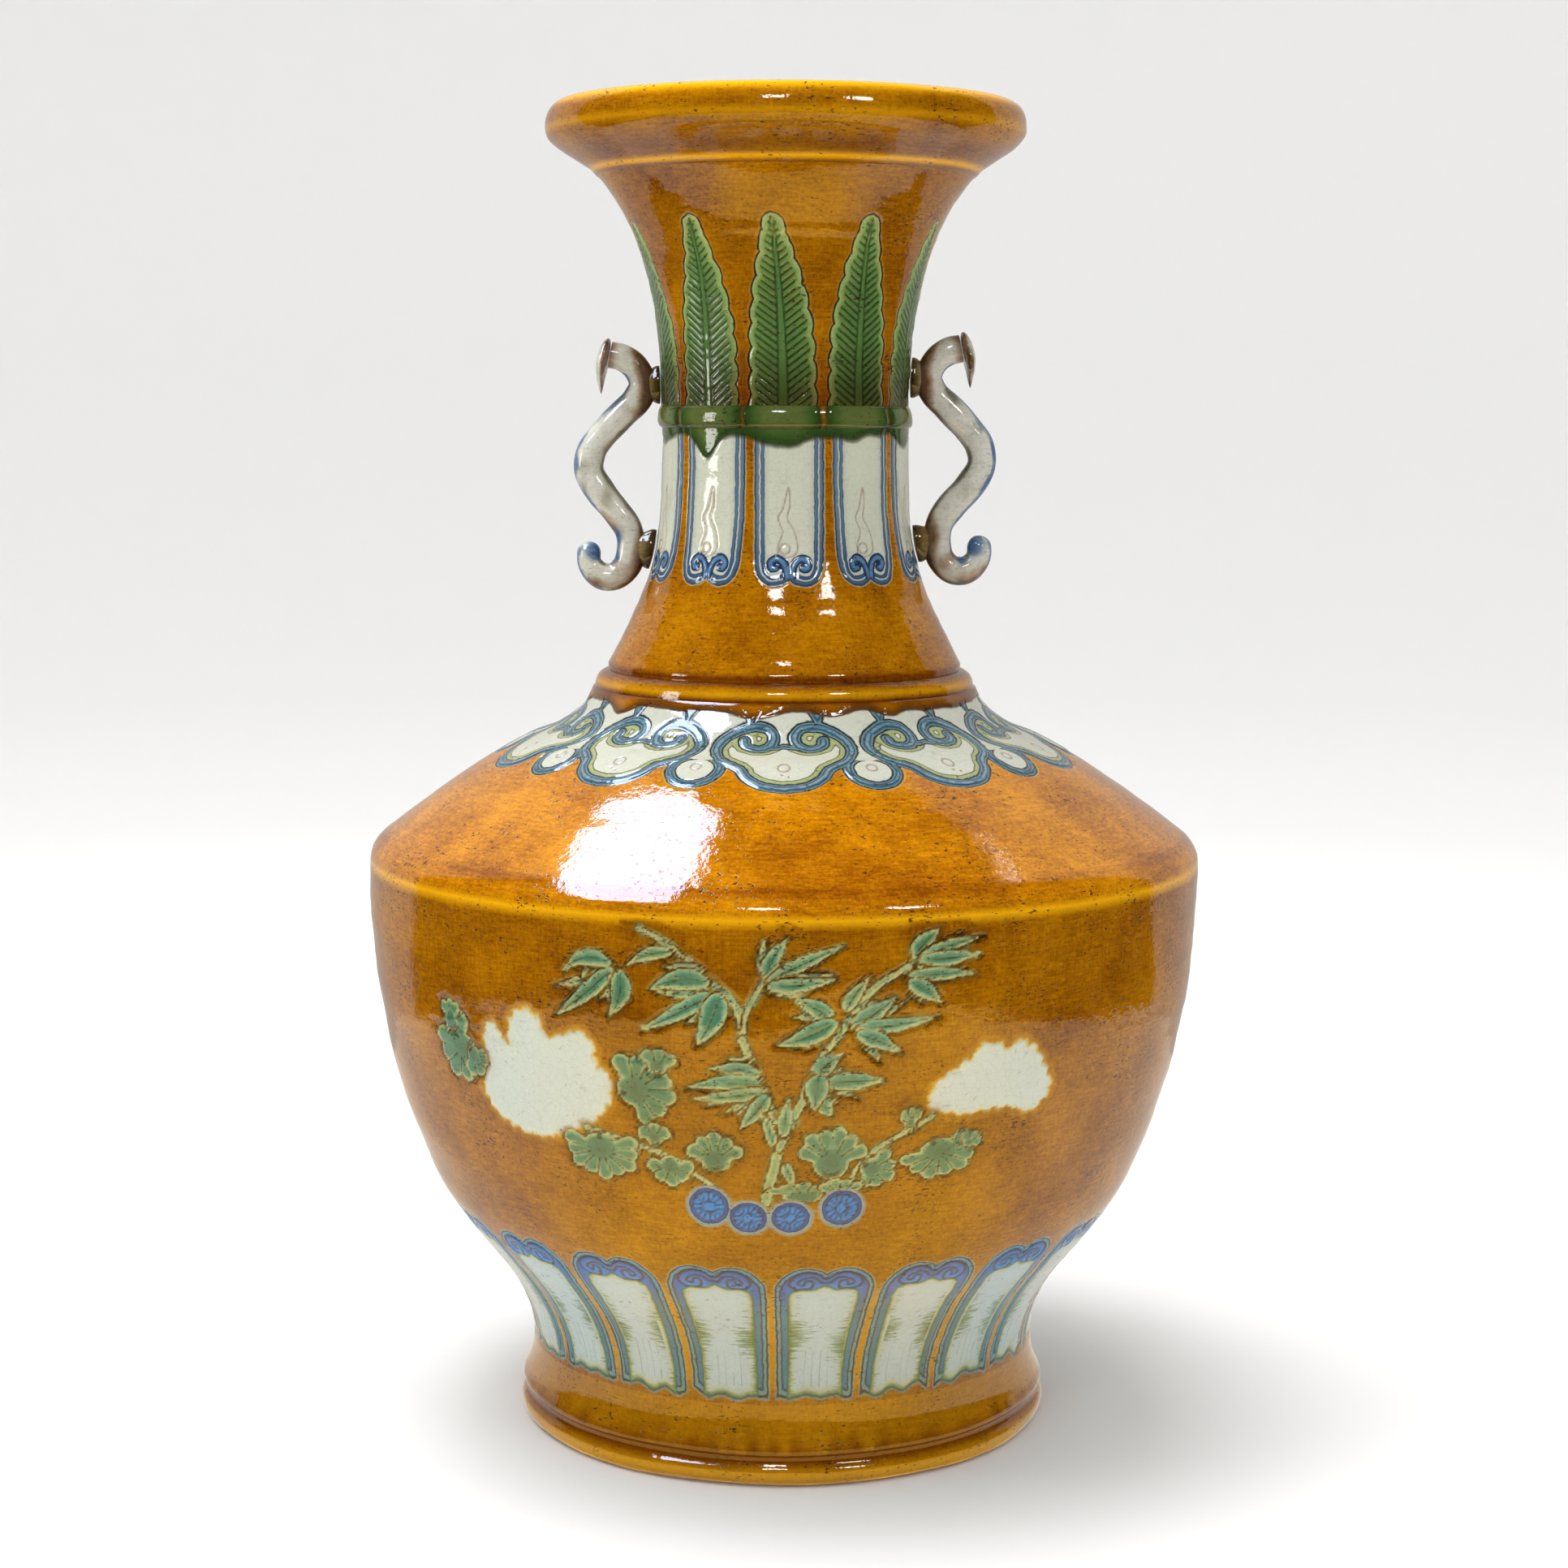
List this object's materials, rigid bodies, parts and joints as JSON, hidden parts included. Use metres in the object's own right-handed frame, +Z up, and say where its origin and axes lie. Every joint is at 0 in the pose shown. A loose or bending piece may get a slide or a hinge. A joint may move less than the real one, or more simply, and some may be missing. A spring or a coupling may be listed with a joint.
{
  "type": "vase",
  "caption": "Wheel-thrown baluster vase in amber sancai glaze with a pan mouth, ringed neck and scroll handles, built as luted sections.",
  "frame": {"origin": "centre of the foot's underside", "axes": "+Z up through the mouth, +X through the right handle, front decoration faces -Y"},
  "size_m": [0.2852, 0.2852, 0.45],
  "materials": {
    "amber_glaze": "glossy amber lead glaze, finely crazed",
    "white_glaze": "glossy straw-white lead glaze",
    "green_glaze": "glossy copper-green lead glaze",
    "handle_glaze": "glossy grey-white lead glaze",
    "joint_glaze": "glossy brown pooled lead glaze"
  },
  "bodies": {
    "root": {"foot_ring": "amber_glaze", "lower_body": "amber_glaze", "shoulder": "amber_glaze", "neck_collar": "amber_glaze", "lower_neck": "white_glaze", "neck_band": "green_glaze", "upper_neck": "amber_glaze", "mouth_rim": "amber_glaze", "handle_left": "handle_glaze", "handle_left_head": "handle_glaze", "handle_left_upper_joint": "joint_glaze", "handle_left_lower_joint": "joint_glaze", "handle_right": "handle_glaze", "handle_right_head": "handle_glaze", "handle_right_upper_joint": "joint_glaze", "handle_right_lower_joint": "joint_glaze"}
  },
  "joints": []
}
